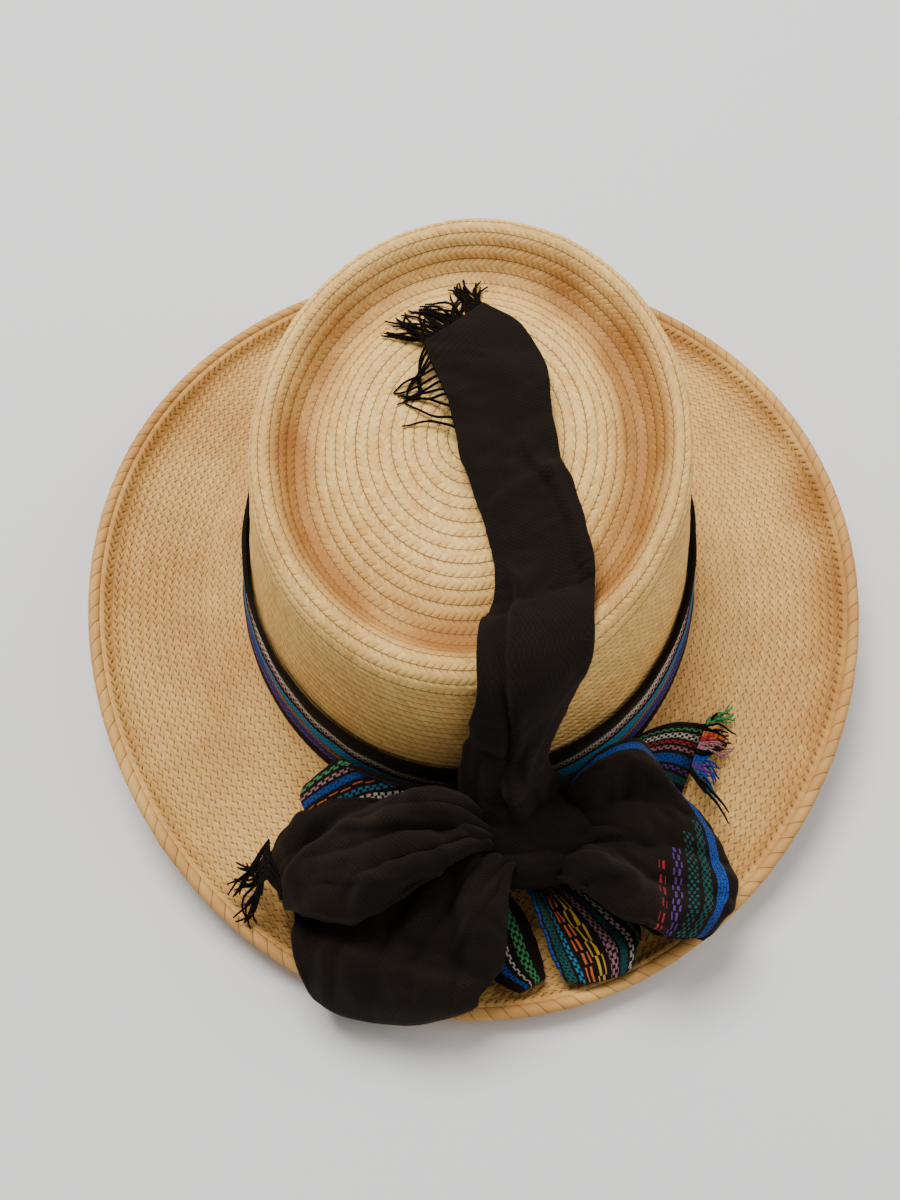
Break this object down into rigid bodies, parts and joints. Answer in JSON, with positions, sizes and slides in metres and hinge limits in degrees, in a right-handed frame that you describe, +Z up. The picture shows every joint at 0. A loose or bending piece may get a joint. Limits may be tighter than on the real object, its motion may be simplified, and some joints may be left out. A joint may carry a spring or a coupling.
{
  "type": "palm leaf hat",
  "caption": "Plaited palm-leaf hat with a sunken oval crown, dished brim and rolled edge, tied round with a striped cotton sash whose fringed tail lies over the crown.",
  "frame": {"origin": "middle of the hat's outline on the surface that it rests on", "axes": "+Z up out of the crown, +Y along the hat's length away from the bow, +X to the right seen from the bow"},
  "size_m": [0.289, 0.339, 0.1056],
  "materials": {
    "straw_plait": "matte woven palm leaf",
    "straw_edge": "matte bound palm leaf",
    "black_cotton": "matte plain weave",
    "striped_cotton": "matte, woven stripes on black",
    "black_thread": "matte twisted thread",
    "coloured_thread": "matte twisted thread"
  },
  "bodies": {
    "root": {"crown": "straw_plait", "brim": "straw_plait", "brim_edge": "straw_edge", "sash_band": "striped_cotton", "sash_knot": "black_cotton", "right_tail": "striped_cotton", "striped_fold": "striped_cotton", "green_tip": "striped_cotton", "front_flap": "striped_cotton", "left_loop": "black_cotton", "right_loop": "black_cotton", "left_tail": "black_cotton", "crown_tail": "black_cotton", "crown_tail_fringe": "black_thread", "left_tail_fringe": "black_thread", "right_tail_fringe": "coloured_thread"}
  },
  "joints": []
}
